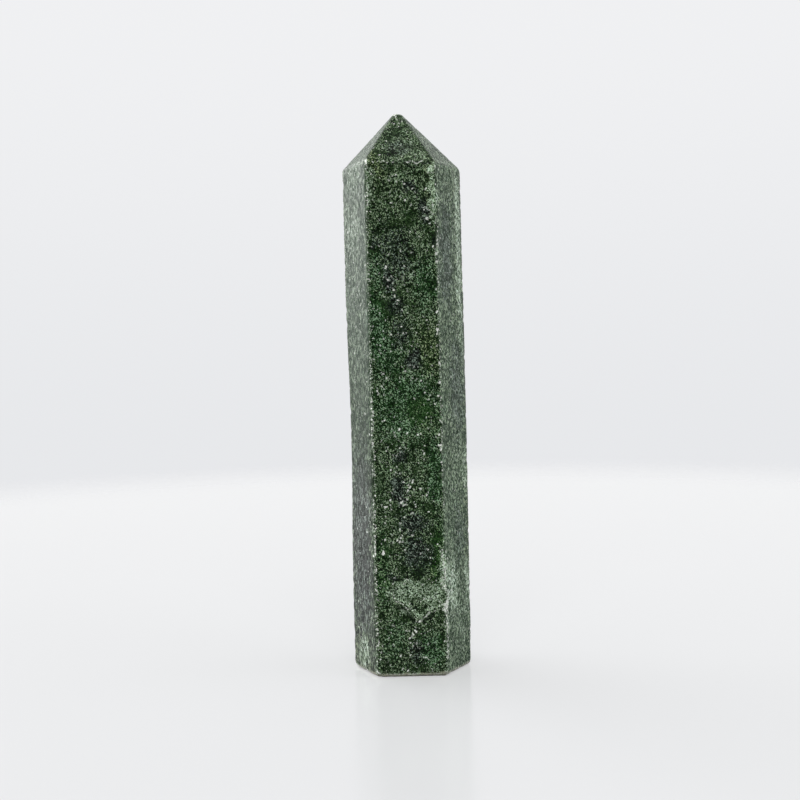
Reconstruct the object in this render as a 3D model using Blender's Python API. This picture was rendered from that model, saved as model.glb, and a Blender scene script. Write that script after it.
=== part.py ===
"""A fuchsite crystal tower: one green stone, ground to a six-sided pillar with a six-sided point.

Metres, +Z up. The origin is the middle of the foot, and the broad front face looks along -Y.
"""

import math

import bmesh
import bpy
from mathutils import Matrix, Vector, noise

MM = 0.001

# The pillar's faces in turn, from the front round by the right. Each has its azimuth in degrees
# from the front, then its distance from the axis at the foot and at the shoulder, in millimetres.
SIDES = {
    "front": (0.0, 6.75, 6.75),
    "right": (57.3, 8.08, 7.83),
    "back_right": (121.5, 8.19, 8.19),
    "back": (180.0, 6.72, 6.60),
    "back_left": (237.2, 8.05, 8.02),
    "left": (299.8, 8.31, 8.31),
}
# How high the shoulder is at each face's right-hand corner, as seen from outside.
SHOULDER_HEIGHTS = {
    "front": 79.35,
    "right": 79.15,
    "back_right": 79.8,
    "back": 80.2,
    "back_left": 79.55,
    "left": 80.05,
}
MEAN_SHOULDER = 80.0
# Where the point's six facets would meet, and the height at which it is rubbed blunt.
APEX = Vector((-0.63, 0.10, 89.02))
BLUNT_HEIGHT = 88.28
BLUNT_TILT = math.radians(6.0)

# The left-hand corner leans out this much from foot to shoulder, and has a shallow waist: its
# middle height, half its length, and its depth.
LEFT_CORNER_LEAN = 0.2
WAIST = (37.0, 25.0, 0.33)
FAR_LEFT = -8.5

# A narrow facet that takes the right-hand corner off, and runs out part of the way down: its
# azimuth, then height and distance from the axis at two points.
SLIVER_AZIMUTH = 64.0
SLIVER_TOP = (75.0, 8.05)
SLIVER_END = (33.0, 8.53)

# A short hollow-ground facet on the front right-hand edge: azimuth, middle height, length, the
# depth it takes off the corner, and how wide its grinding wheel was.
EDGE_FACET = (11.0, 42.0, 8.6, 0.24, 30.0)

# Widths of the worn edges.
FOOT_BEVEL = 0.45
EDGE_BEVEL = 0.28
BLUNT_BEVEL = 0.20
BEVEL_SEGMENTS = 3
# Level lines round the pillar, which leave its shape alone and keep its triangles short. They
# keep clear of its corners.
LEVEL_SPACING = 4.9
LEVEL_CLEARANCE = 1.7
# Edges that turn less than this aren't worn, and points nearer than this are one.
FLAT_ANGLE = math.radians(0.5)
SAME_POINT = 0.02
# The rough block that the flats are ground on, and the one that the narrow facet is cut with.
ROUGH_BLOCK = 200.0
SLIVER_BLOCK = 120.0

# The spall across the lower front: x, the height of its lower lip on the face, and its depth
# above the lip, which slopes in at 45 degrees. It runs out to nothing at SPALL_TOP.
SPALL_LIP = (
    (-3.7, 13.9, 0.04),
    (-2.9, 12.0, 0.38),
    (-1.1, 11.1, 0.48),
    (-0.5, 10.4, 0.52),
    (0.94, 8.8, 0.50),
    (1.84, 9.2, 0.42),
    (2.44, 9.9, 0.46),
    (4.54, 10.5, 0.58),
    (5.9, 10.9, 0.62),
)
SPALL_TOP = 16.4
SPALL_REACH = 1.5

# Chips on the faces: face, distance along it from its middle (towards its right-hand corner),
# height, width, tall, depth and turn in degrees.
FACE_CHIPS = (
    ("front", -2.9, 79.3, 1.3, 0.7, 0.16, -8),
    ("front", 1.6, 79.4, 2.1, 0.7, 0.16, 6),
    ("front", 0.95, 75.6, 1.3, 0.8, 0.20, 20),
    ("front", 3.2, 71.5, 1.5, 0.8, 0.18, 15),
    ("front", -1.2, 72.9, 0.7, 0.6, 0.12, 0),
    ("front", 2.4, 65.1, 1.2, 0.7, 0.12, 35),
    ("front", 0.9, 62.4, 1.1, 1.9, 0.12, -25),
    ("front", -3.3, 56.0, 0.7, 1.0, 0.10, -20),
    ("front", 0.8, 47.6, 1.6, 0.6, 0.12, 10),
    ("front", -3.9, 28.6, 1.2, 1.6, 0.12, 0),
    ("front", -1.6, 17.9, 1.4, 0.7, 0.12, 15),
    ("front", -1.9, 15.8, 1.3, 0.7, 0.16, 0),
    ("right", 0.6, 62.0, 0.9, 1.6, 0.12, 5),
    ("right", -1.4, 22.5, 1.0, 1.4, 0.12, -15),
    ("right", 1.5, 9.0, 1.5, 0.9, 0.14, 10),
    ("back_right", -0.8, 47.0, 1.2, 1.8, 0.14, 25),
    ("back_right", 1.9, 70.5, 0.8, 0.8, 0.12, 0),
    ("back", 2.2, 30.0, 1.8, 1.0, 0.16, -30),
    ("back", -2.6, 66.0, 1.0, 1.5, 0.14, 15),
    ("back", 0.4, 51.5, 0.8, 0.7, 0.12, 0),
    ("back_left", 0.9, 38.0, 1.1, 1.9, 0.14, -10),
    ("back_left", -1.6, 14.0, 1.3, 0.9, 0.14, 20),
    ("left", 0.7, 60.5, 0.8, 1.2, 0.10, 0),
    ("left", -0.9, 27.0, 0.9, 1.3, 0.10, 15),
)
# Chips on the pillar's edges: the face on the left of the edge, height, tall, wide and depth.
EDGE_CHIPS = (
    ("front", 76.4, 1.9, 1.2, 0.30),
    ("front", 72.4, 2.0, 1.7, 0.42),
    ("front", 69.6, 1.7, 1.5, 0.40),
    ("front", 60.3, 1.0, 0.7, 0.20),
    ("front", 24.5, 1.4, 0.9, 0.24),
    ("front", 17.9, 2.2, 1.4, 0.34),
    ("left", 76.2, 1.3, 0.8, 0.20),
    ("left", 34.6, 2.0, 1.0, 0.24),
    ("left", 29.8, 3.2, 1.3, 0.28),
    ("left", 12.6, 1.2, 0.7, 0.18),
    ("right", 67.3, 1.2, 0.8, 0.22),
    ("right", 34.4, 1.0, 0.8, 0.18),
    ("right", 29.9, 0.9, 0.7, 0.18),
    ("right", 2.4, 7.0, 1.7, 0.25),
    ("back_left", 52.3, 1.1, 0.8, 0.18),
    ("back_left", 41.6, 0.9, 0.7, 0.18),
    ("back_left", 21.0, 1.8, 1.0, 0.24),
    ("back_left", 2.6, 4.4, 1.6, 0.26),
    ("back_right", 58.5, 2.4, 1.3, 0.30),
    ("back_right", 24.0, 1.4, 1.0, 0.24),
    ("back", 71.5, 1.6, 1.1, 0.26),
    ("back", 43.2, 2.6, 1.2, 0.30),
    ("back", 11.4, 1.3, 1.0, 0.24),
)
# Chips on the point's edges: the face on the left of the edge, how far along from the shoulder
# to the apex, tall, wide and depth.
TIP_CHIPS = (
    ("left", 0.62, 0.9, 0.7, 0.16),
    ("front", 0.30, 0.8, 0.8, 0.18),
    ("front", 0.66, 1.3, 0.8, 0.18),
    ("right", 0.45, 0.9, 0.7, 0.16),
    ("back_right", 0.70, 0.8, 0.7, 0.16),
    ("back", 0.35, 1.0, 0.8, 0.18),
    ("back_left", 0.55, 0.8, 0.7, 0.16),
)
# Chips on the foot's rim: azimuth, wide, tall and depth.
FOOT_CHIPS = (
    (-38.0, 2.2, 1.2, 0.30),
    (12.0, 1.8, 0.9, 0.26),
    (52.0, 1.6, 1.0, 0.28),
    (118.0, 2.0, 1.1, 0.28),
    (163.0, 1.7, 0.9, 0.26),
    (222.0, 2.4, 1.1, 0.30),
    (268.0, 1.5, 1.0, 0.28),
)
# How far the worn foot rim lies inside the sharp one.
FOOT_SETBACK = 0.18
# How far a chip's blob is raised over the surface, as a share of its own half-thickness, how
# uneven it is, and how many lumps it has.
CHIP_LIFT = 0.375
CHIP_ROUGHNESS = 0.16
CHIP_LUMPS = 1.9
CHIP_SUBDIVISIONS = 3

STONE_COLOUR = (0.050, 0.080, 0.046, 1.0)
STONE_ROUGHNESS = 0.38


def outward(azimuth):
    """The level direction at this azimuth: 0 is the front, -Y, and 90 is +X."""
    turn = math.radians(azimuth)
    return Vector((math.sin(turn), -math.cos(turn), 0.0))


def side_distance(side, height):
    """How far the face's plane is from the axis at this height."""
    _, foot, shoulder = SIDES[side]
    return foot + (shoulder - foot) * height / MEAN_SHOULDER


def next_side(side):
    names = list(SIDES)
    return names[(names.index(side) + 1) % len(names)]


def corner(side, height):
    """The point at this height on the edge between the face and the next one round."""
    other = next_side(side)
    a, b = outward(SIDES[side][0]), outward(SIDES[other][0])
    da, db = side_distance(side, height), side_distance(other, height)
    cross = a.x * b.y - a.y * b.x
    return Vector(((da * b.y - db * a.y) / cross, (db * a.x - da * b.x) / cross, height))


def face_point(side, along, height):
    """The point on the face that lies along its level direction from the axis's foot on it."""
    normal = outward(SIDES[side][0])
    rightward = Vector((-normal.y, normal.x, 0.0))
    return normal * side_distance(side, height) + rightward * along + Vector((0, 0, height))


def grind(stone, point, normal):
    """Grinds one flat on the stone: what lies beyond the plane goes, and the cut is closed."""
    cut = bmesh.ops.bisect_plane(
        stone,
        geom=[*stone.verts, *stone.edges, *stone.faces],
        plane_co=point * MM,
        plane_no=normal,
        clear_outer=True,
    )
    rim = [item for item in cut["geom_cut"] if isinstance(item, bmesh.types.BMEdge)]
    if rim:
        bmesh.ops.edgeloop_fill(stone, edges=rim)


def plane_normal(a, b, c):
    """The plane through three points, facing away from the axis."""
    normal = (b - a).cross(c - a).normalized()
    middle = (a + b + c) / 3
    return normal if normal.dot(Vector((middle.x, middle.y, 1.0))) > 0 else -normal


def waist(height):
    """How far the left-hand corner lies in from its straight line at this height."""
    middle, half, depth = WAIST
    nearness = max(0.0, 1 - abs(height - middle) / half)
    hollow = depth * math.sin(nearness * math.pi / 2) ** 2
    return hollow + LEFT_CORNER_LEAN * (0.5 - height / MEAN_SHOULDER)


def ground_stone():
    """The stone before wear: a block with every flat ground on it."""
    stone = bmesh.new()
    standing = Matrix.Translation((0, 0, ROUGH_BLOCK / 2 * MM))
    bmesh.ops.create_cube(stone, size=ROUGH_BLOCK * MM, matrix=standing)
    for side, (azimuth, foot, shoulder) in SIDES.items():
        lean = (foot - shoulder) / MEAN_SHOULDER
        grind(stone, face_point(side, 0, 0), outward(azimuth) + Vector((0, 0, lean)))
    names = list(SIDES)
    for before, side in zip([names[-1], *names], names):
        low_left = corner(before, SHOULDER_HEIGHTS[before])
        low_right = corner(side, SHOULDER_HEIGHTS[side])
        grind(stone, APEX, plane_normal(APEX, low_left, low_right))
    blunt = Matrix.Rotation(BLUNT_TILT, 3, "Y") @ Vector((0, 0, 1))
    grind(stone, Vector((APEX.x, APEX.y, BLUNT_HEIGHT)), blunt)
    # Four planes meet at each shoulder corner, and rounding leaves them a hair apart.
    bmesh.ops.remove_doubles(stone, verts=stone.verts, dist=SAME_POINT * MM)
    for i in range(1, int(BLUNT_HEIGHT / LEVEL_SPACING)):
        height = i * LEVEL_SPACING
        if abs(height - MEAN_SHOULDER) < LEVEL_CLEARANCE:
            continue
        bmesh.ops.bisect_plane(
            stone,
            geom=[*stone.verts, *stone.edges, *stone.faces],
            plane_co=Vector((0, 0, height)) * MM,
            plane_no=Vector((0, 0, 1)),
        )
    for vert in stone.verts:
        if vert.co.x < FAR_LEFT * MM:
            vert.co.x += waist(vert.co.z / MM) * MM
    return stone


def wear_width(edge):
    """How wide the edge is worn: the foot's rim most, and the blunt tip's rim least."""
    if edge.calc_face_angle() < FLAT_ANGLE:
        return 0.0
    heights = [vert.co.z / MM for vert in edge.verts]
    if max(heights) < 1:
        return FOOT_BEVEL
    if min(heights) > BLUNT_HEIGHT - 1:
        return BLUNT_BEVEL
    return EDGE_BEVEL


def worn(stone_object, stone):
    """Gives every edge its own width of wear, and rounds them with one Bevel."""
    weights = stone.edges.layers.float.new("bevel_weight_edge")
    for edge in stone.edges:
        edge[weights] = wear_width(edge) / FOOT_BEVEL
    stone.to_mesh(stone_object.data)
    bevel = stone_object.modifiers.new("worn_edges", "BEVEL")
    bevel.limit_method = "WEIGHT"
    bevel.width = FOOT_BEVEL * MM
    bevel.segments = BEVEL_SEGMENTS
    bevel.use_clamp_overlap = True


def helper(name, mesh, collection):
    """A cutter, which is left out of the part."""
    cutter = bpy.data.objects.new(name, mesh)
    cutter.hide_render = True
    cutter.display_type = "WIRE"
    collection.objects.link(cutter)
    return cutter


def level_axes(normal):
    """Axes whose z is this level direction and whose y is straight up."""
    up = Vector((0, 0, 1))
    return Matrix((up.cross(normal), up, normal)).transposed().to_4x4()


def sliver(collection):
    """A block whose inner side is the narrow facet on the right-hand corner."""
    out = outward(SLIVER_AZIMUTH)
    lean = (SLIVER_END[1] - SLIVER_TOP[1]) / (SLIVER_TOP[0] - SLIVER_END[0])
    place = Matrix.Translation((out * SLIVER_TOP[1] + Vector((0, 0, SLIVER_TOP[0]))) * MM)
    tilt = Matrix.Rotation(-math.atan(lean), 4, "X")
    shift = Matrix.Translation((0, 0, SLIVER_BLOCK / 2 * MM))
    held = place @ level_axes(out) @ tilt @ shift
    block = bmesh.new()
    bmesh.ops.create_cube(block, size=SLIVER_BLOCK * MM, matrix=held)
    mesh = bpy.data.meshes.new("sliver")
    block.to_mesh(mesh)
    block.free()
    return helper("sliver", mesh, collection)


def edge_facet(collection):
    """A level wheel that hollows the front right-hand edge."""
    azimuth, height, length, depth, wheel_width = EDGE_FACET
    out = outward(azimuth)
    radius = (length**2 / 4 + depth**2) / (2 * depth)
    centre = corner("front", height) + out * (radius - depth)
    centre.z = height
    along = Matrix.Rotation(math.radians(90), 4, "Y")
    wheel = bmesh.new()
    bmesh.ops.create_cone(
        wheel,
        cap_ends=True,
        segments=180,
        radius1=radius * MM,
        radius2=radius * MM,
        depth=wheel_width * MM,
        matrix=Matrix.Translation(centre * MM) @ level_axes(out) @ along,
    )
    mesh = bpy.data.meshes.new("edge_facet")
    wheel.to_mesh(mesh)
    wheel.free()
    return helper("edge_facet", mesh, collection)


def chip(name, point, normal, upward, wide, tall, depth, collection, turn=0.0):
    """A rough flattened blob that bites this deep into the surface at the point."""
    half_thick = depth / (1 - CHIP_LIFT)
    spread = 1 / math.sqrt(1 - CHIP_LIFT**2)
    sideways = upward.cross(normal).normalized()
    level = normal.cross(sideways).normalized()
    axes = Matrix((sideways, level, normal)).transposed() @ Matrix.Rotation(turn, 3, "Z")
    sizes = Vector((wide / 2 * spread, tall / 2 * spread, half_thick))
    centre = point + normal * (half_thick - depth)
    blob = bmesh.new()
    bmesh.ops.create_icosphere(blob, subdivisions=CHIP_SUBDIVISIONS, radius=1)
    for vert in blob.verts:
        bumpy = 1 + CHIP_ROUGHNESS * noise.noise(vert.co * CHIP_LUMPS + point)
        local = Vector(c * s for c, s in zip(vert.co * bumpy, sizes))
        vert.co = (centre + axes @ local) * MM
    mesh = bpy.data.meshes.new(name)
    blob.to_mesh(mesh)
    blob.free()
    return helper(name, mesh, collection)


def spall(collection):
    """The wedge that flaked off across the lower front, from its sharp lip up to nothing."""
    front = -side_distance("front", 0)
    wedge = bmesh.new()
    rings = []
    for x, lip, depth in SPALL_LIP:
        slope = (SPALL_TOP - lip - depth) / depth
        points = (
            (x, front - SPALL_REACH, lip - SPALL_REACH),
            (x, front + depth, lip + depth),
            (x, front - SPALL_REACH, SPALL_TOP + SPALL_REACH * slope),
        )
        rings.append([wedge.verts.new(Vector(point) * MM) for point in points])
    wedge.faces.new(rings[0])
    wedge.faces.new(reversed(rings[-1]))
    for left, right in zip(rings, rings[1:]):
        for i in range(3):
            j = (i + 1) % 3
            wedge.faces.new((left[j], left[i], right[i], right[j]))
    bmesh.ops.recalc_face_normals(wedge, faces=wedge.faces)
    mesh = bpy.data.meshes.new("spall")
    wedge.to_mesh(mesh)
    wedge.free()
    return helper("spall", mesh, collection)


def edge_normal(side):
    """The level direction in which the face's right-hand edge points."""
    return (outward(SIDES[side][0]) + outward(SIDES[next_side(side)][0])).normalized()


def foot_point(azimuth):
    """The point on the sharp foot rim in this direction."""
    level = outward(azimuth)
    facing = {side: level.dot(outward(SIDES[side][0])) for side in SIDES}
    return level * min(side_distance(side, 0) / facing[side] for side in SIDES if facing[side] > 0)


def chips(collection):
    """All the small losses: on the faces, along the edges, on the point and round the foot."""
    up = Vector((0, 0, 1))
    for i, (side, along, height, wide, tall, depth, turn) in enumerate(FACE_CHIPS):
        point = face_point(side, along, height)
        normal = outward(SIDES[side][0])
        turned = math.radians(turn)
        chip(f"face_chip_{i}", point, normal, up, wide, tall, depth, collection, turned)
    for i, (side, height, tall, wide, depth) in enumerate(EDGE_CHIPS):
        point = corner(side, height)
        chip(f"edge_chip_{i}", point, edge_normal(side), up, wide, tall, depth, collection)
    for i, (side, share, tall, wide, depth) in enumerate(TIP_CHIPS):
        point = corner(side, SHOULDER_HEIGHTS[side]).lerp(APEX, share)
        normal = (edge_normal(side) + up).normalized()
        chip(f"tip_chip_{i}", point, normal, up, wide, tall, depth, collection)
    for i, (azimuth, wide, tall, depth) in enumerate(FOOT_CHIPS):
        point = foot_point(azimuth)
        down_and_out = (outward(azimuth) - up).normalized()
        deep = depth + FOOT_SETBACK
        chip(f"foot_chip_{i}", point, down_and_out, up, wide, tall, deep, collection)


def stone_material():
    material = bpy.data.materials.new("fuchsite")
    material.use_nodes = True
    shader = material.node_tree.nodes["Principled BSDF"]
    shader.inputs["Base Color"].default_value = STONE_COLOUR
    shader.inputs["Roughness"].default_value = STONE_ROUGHNESS
    shader.inputs["Metallic"].default_value = 0.0
    return material


def main():
    for old in list(bpy.data.objects):
        bpy.data.objects.remove(old)
    tower = bpy.data.objects.new("crystal_tower", bpy.data.meshes.new("crystal_tower"))
    bpy.context.scene.collection.objects.link(tower)
    stone = ground_stone()
    worn(tower, stone)
    stone.free()
    losses = bpy.data.collections.new("losses")
    bpy.context.scene.collection.children.link(losses)
    sliver(losses)
    edge_facet(losses)
    chips(losses)
    spall(losses)
    for cutter in losses.objects:
        loss = tower.modifiers.new(cutter.name, "BOOLEAN")
        loss.operation = "DIFFERENCE"
        loss.object = cutter
    tower.data.materials.append(stone_material())


main()
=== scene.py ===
"""The looks of the fuchsite crystal tower: its worn and pitted surface, its stone, and the studio.

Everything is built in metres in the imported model's frame, from lengths written in millimetres.
"""

import math

import bmesh
import bpy
import numpy as np
from mathutils import Matrix, Vector, noise

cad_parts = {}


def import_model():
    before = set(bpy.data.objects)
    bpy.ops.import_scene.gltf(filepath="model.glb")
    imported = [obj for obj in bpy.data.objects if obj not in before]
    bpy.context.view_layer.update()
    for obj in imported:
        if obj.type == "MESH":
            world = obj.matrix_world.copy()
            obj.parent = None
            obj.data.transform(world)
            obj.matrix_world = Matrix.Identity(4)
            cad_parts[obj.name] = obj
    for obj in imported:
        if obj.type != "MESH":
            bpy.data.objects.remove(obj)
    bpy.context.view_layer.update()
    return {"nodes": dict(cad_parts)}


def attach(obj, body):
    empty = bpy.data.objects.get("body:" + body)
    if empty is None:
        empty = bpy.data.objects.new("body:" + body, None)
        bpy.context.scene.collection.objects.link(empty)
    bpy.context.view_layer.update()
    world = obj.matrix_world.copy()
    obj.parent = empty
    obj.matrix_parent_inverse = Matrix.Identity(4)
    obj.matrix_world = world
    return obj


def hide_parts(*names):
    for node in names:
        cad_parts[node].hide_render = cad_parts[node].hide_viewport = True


MM = 0.001
NODE = "crystal_tower"
# How far apart the noises of two neighbouring seeds are taken.
SEED_STEPS = (17.3, -9.1, 5.7)

# The photograph's camera, worked out from the pillar's edges in it.
PHOTO_WIDTH_PX = 800
FOCAL_PX = 1086
SENSOR_MM = 36.0
CAMERA_PLACE = Vector((-1.17, -173.8, 51.0))
CAMERA_PITCH = math.radians(2.64)
CAMERA_ROLL = math.radians(1.27)
CLIP_START = 5

# The fine surface. The front, whose marks are the finest, has its faces split in four.
VOXEL = 0.31
FRONT_Y = -6.75
FRONT_FACING = -0.75
FLANK_FACING = (0.4, 0.7)

# Edges and hollows are found by averaging over neighbours, in rounds. The pairs say how much the
# average differs from the surface where an edge or a hollow begins, and where it is full.
RIM_ROUNDS = 2
RIM_TURNING = (0.01, 0.05)
WEAR_ROUNDS = 8
WEAR_TURNING = (0.01, 0.09)
HOLLOW_ROUNDS = 6
HOLLOW_DEPTHS = (0.01, 0.06)

# The small relief: how deep each kind of it goes, how large its lumps are, and the noise at which
# a pit or an eaten stretch of edge begins and is full. Then the rounding of the foot's rim.
CHATTER_DEPTH = 0.012
CHATTER_IN_HOLLOWS = 0.05
FINE_CHATTER_SIZE = 0.5
COARSE_CHATTER_SIZE = 1.3
WAVINESS_DEPTH = 0.03
WAVINESS_SIZE = 7.0
EATEN_DEPTH = 0.14
EATEN_SIZE = 0.9
EATEN_PATCHES = (0.05, 0.6)
PIT_DEPTH = 0.05
PIT_SIZE = 0.6
PIT_PATCHES = (0.42, 0.62)
SHADOW_AND_CRACK_DEPTH = 0.07
FOOT_ROUND_WIDTH = 0.5
FOOT_ROUND_HEIGHT = 1.6

# How far the outlines of the marks wander, how large the wandering's lumps are, and where each
# mark is still full and where it has gone, as shares of its half size.
ZONE_WANDER = 0.9
ZONE_WANDER_SIZE = 1.7
ZONE_FALLOFF = (0.45, 1.45)
LINE_WANDER = 0.1
LINE_WANDER_SIZE = 0.45
LINE_FALLOFF = (0.6, 1.7)
FLECK_FALLOFF = (0.6, 1.4)

# How far behind the front's plane lines and flecks are still full, and where they have gone.
FRONT_DEPTH_FULL = 1.6
FRONT_DEPTH_GONE = 2.4

# The free mottle of the sides that don't show: the depths over which it sets in, the noise at
# which a patch begins and is full, how patches are drawn out upward, and how strong pale ones are.
UNSEEN_DEPTHS = (-2.0, 2.0)
UNSEEN_PATCHES = (0.05, 0.45)
UNSEEN_UPRIGHT = (1, 1, 0.5)
UNSEEN_PALE = 0.45

# The rubbed band above the foot: where it is full, where it has gone, and how far it wanders.
FOOT_BAND = (0.1, 0.8)
FOOT_WANDER = 0.4
FOOT_WANDER_SIZE = 1.5


def smoothstep(low, high, value):
    """0 at low, 1 at high, level beyond them, and smooth between them."""
    t = np.clip((value - low) / (high - low), 0.0, 1.0)
    return t * t * (3 - 2 * t)


def noise_at(points, size, seed):
    """Smooth noise of about -1 to 1 at each point, whose lumps are this many millimetres."""
    offset = Vector([seed * step for step in SEED_STEPS])
    return np.array([noise.noise(Vector(p) / size + offset) for p in points.tolist()])


class Surface:
    """The stone's fine mesh: its points and normals in millimetres, and its edges."""

    def __init__(self, mesh):
        count = len(mesh.vertices)
        self.points = np.empty(count * 3)
        mesh.vertices.foreach_get("co", self.points)
        self.points = self.points.reshape(-1, 3) / MM
        self.normals = np.empty(count * 3)
        mesh.vertices.foreach_get("normal", self.normals)
        self.normals = self.normals.reshape(-1, 3)
        edges = np.empty(len(mesh.edges) * 2, np.int32)
        mesh.edges.foreach_get("vertices", edges)
        self.edges = edges.reshape(-1, 2)
        self.degree = np.bincount(self.edges.ravel(), minlength=count)

    def spread(self, values, rounds):
        """Each point's value averaged with its neighbours', this many times."""
        values = np.array(values, float)
        columns = values.reshape(len(values), -1)
        for _ in range(rounds):
            total = columns.copy()
            for i in range(columns.shape[1]):
                for a, b in ((0, 1), (1, 0)):
                    total[:, i] += np.bincount(
                        self.edges[:, a],
                        weights=columns[self.edges[:, b], i],
                        minlength=len(columns),
                    )
            columns = total / (self.degree + 1)[:, None]
        return columns.reshape(values.shape)


def fine_mesh(source):
    """The solid's mesh made again in even small faces."""
    copy = bpy.data.objects.new("remeshing", source.data.copy())
    bpy.context.scene.collection.objects.link(copy)
    remesh = copy.modifiers.new("even_faces", "REMESH")
    remesh.mode = "VOXEL"
    remesh.voxel_size = VOXEL * MM
    depsgraph = bpy.context.evaluated_depsgraph_get()
    mesh = bpy.data.meshes.new_from_object(copy.evaluated_get(depsgraph))
    bpy.data.objects.remove(copy)
    mesh.materials.clear()
    return mesh


def split_front(mesh):
    """Splits the faces that look to the front in four."""
    fine = bmesh.new()
    fine.from_mesh(mesh)
    front = {face.index for face in fine.faces if face.normal.y < FRONT_FACING}
    edges = [edge for edge in fine.edges if any(f.index in front for f in edge.link_faces)]
    bmesh.ops.subdivide_edges(fine, edges=edges, cuts=1, use_grid_fill=True)
    fine.to_mesh(mesh)
    fine.free()


def edge_wear(surface, rounds, turning):
    """How near each point is to an edge or a chip's rim, from 0 to 1, within the rounds' reach."""
    blurred = surface.spread(surface.normals, rounds)
    return smoothstep(*turning, 1 - np.linalg.norm(blurred, axis=1))


def hollowness(surface):
    """How far each point lies in a hollow, from 0 to 1."""
    towards = surface.spread(surface.points, HOLLOW_ROUNDS) - surface.points
    depth = np.einsum("ij,ij->i", towards, surface.normals)
    return smoothstep(*HOLLOW_DEPTHS, depth)


# Where the stone differs from its general mottle. Each zone is a blob in the stone: x, y and z of
# its middle, its half sizes across, inward and up, its turn as seen from the front in degrees,
# and its strength. Y is FRONT_Y on the front face.
DARK_ZONES = (
    ((-0.7, -5.4, 82.0), (1.9, 2.5, 1.5), 0, 0.8),
    ((0.6, FRONT_Y, 75.7), (1.3, 2.0, 0.9), -15, 1.0),
    ((3.2, FRONT_Y, 72.4), (1.0, 1.5, 1.9), 10, 1.0),
    ((-4.3, FRONT_Y, 67.2), (0.7, 2.0, 0.9), 0, 0.8),
    ((4.9, FRONT_Y, 67.6), (0.6, 2.0, 1.1), 0, 0.9),
    ((-1.4, FRONT_Y, 66.0), (2.8, 3.0, 4.4), 20, 0.6),
    ((-2.6, FRONT_Y, 61.9), (1.1, 3.0, 2.2), 10, 1.0),
    ((-1.6, FRONT_Y, 57.8), (1.3, 3.0, 1.7), 15, 0.8),
    ((1.2, FRONT_Y, 49.6), (1.1, 3.0, 1.5), 10, 1.0),
    ((-0.8, FRONT_Y, 53.2), (1.6, 3.0, 2.2), 0, 0.6),
    ((-1.3, FRONT_Y, 34.6), (1.3, 3.0, 1.4), 0, 0.9),
    ((-1.6, FRONT_Y, 29.2), (1.1, 3.0, 2.6), 8, 1.0),
    ((0.4, FRONT_Y, 24.0), (2.5, 3.0, 1.5), -8, 0.9),
    ((1.0, FRONT_Y, 19.4), (2.3, 3.0, 3.0), 8, 0.85),
    ((-2.9, FRONT_Y, 15.6), (0.9, 1.5, 0.6), 0, 0.8),
    ((0.6, FRONT_Y, 4.0), (1.1, 3.0, 1.8), 0, 0.7),
    ((6.6, -4.8, 66.0), (1.3, 2.5, 8.0), 0, 0.9),
    ((8.0, -2.6, 45.0), (1.8, 2.5, 8.0), 0, 0.7),
    ((8.0, -2.6, 22.0), (1.4, 2.5, 5.0), 0, 0.5),
    # The next zone is painted shade: it darkens the lower left flank towards the foot.
    ((-7.6, -3.0, 22.0), (2.4, 3.0, 16.0), 0, 1.0),
)
PALE_ZONES = (
    ((0.0, -4.6, 82.4), (3.2, 3.0, 3.4), 0, 0.45),
    ((4.5, -6.6, 75.4), (0.9, 1.2, 5.0), 2, 1.0),
    ((3.5, -6.0, 80.9), (1.0, 1.6, 1.6), 30, 0.5),
    ((-0.6, 0.0, 88.0), (1.6, 1.6, 1.6), 0, 0.6),
    ((-5.2, FRONT_Y, 76.0), (0.8, 0.8, 4.6), 0, 0.7),
    ((-4.9, FRONT_Y, 30.6), (1.0, 1.0, 1.8), -10, 0.5),
    ((-4.2, FRONT_Y, 24.0), (1.3, 1.5, 2.2), 0, 0.35),
    ((-0.6, FRONT_Y, 13.8), (3.6, 2.0, 2.1), 5, 0.75),
    ((3.2, FRONT_Y, 12.6), (2.2, 2.0, 1.8), 8, 0.75),
    ((5.2, -6.4, 16.2), (1.0, 1.2, 4.2), 3, 1.0),
    ((6.8, -5.0, 14.0), (1.9, 2.0, 5.4), 0, 1.0),
    ((8.0, -2.4, 8.0), (1.4, 2.0, 6.0), 0, 0.5),
    ((5.4, -6.5, 9.0), (0.5, 1.0, 2.8), 0, 0.8),
    ((-1.2, FRONT_Y, 10.2), (0.8, 1.0, 0.45), -10, 0.9),
    ((-7.8, -3.2, 3.0), (2.0, 2.4, 3.0), 0, 0.9),
    ((-8.0, -3.0, 70.0), (2.6, 3.0, 7.0), 0, 0.6),
    ((8.7, -1.4, 66.0), (0.9, 1.6, 17.0), 0, 1.0),
    ((9.1, -1.2, 31.0), (0.8, 1.5, 6.0), 0, 0.7),
    ((9.1, -1.2, 13.0), (0.8, 1.5, 6.0), 0, 0.8),
    ((-7.6, -3.2, 77.6), (2.2, 2.6, 3.4), 0, 0.7),
    ((8.9, -1.0, 7.0), (0.9, 1.5, 5.0), 0, 0.4),
)
VIVID_ZONES = (
    ((-4.4, FRONT_Y, 54.0), (1.6, 3.0, 6.4), 6, 1.0),
    ((-2.8, FRONT_Y, 50.0), (1.8, 3.0, 3.6), 20, 0.8),
    ((-4.4, FRONT_Y, 63.0), (1.2, 3.0, 4.0), 0, 0.6),
    ((3.0, FRONT_Y, 61.0), (1.8, 3.0, 4.0), 0, 0.7),
    ((0.0, FRONT_Y, 42.0), (5.4, 3.0, 5.4), 0, 0.8),
    ((4.0, FRONT_Y, 32.0), (1.2, 2.0, 6.0), 0, 0.9),
    ((4.0, FRONT_Y, 19.0), (0.9, 2.0, 5.6), -4, 1.0),
    ((-4.4, FRONT_Y, 17.0), (1.1, 2.0, 5.4), 0, 0.9),
    ((3.0, FRONT_Y, 4.4), (1.9, 2.0, 2.8), 0, 1.0),
    ((-3.0, FRONT_Y, 6.0), (1.8, 2.0, 3.4), 0, 0.5),
    ((9.0, -1.0, 66.0), (0.7, 1.4, 16.0), 0, 0.8),
)
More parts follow.
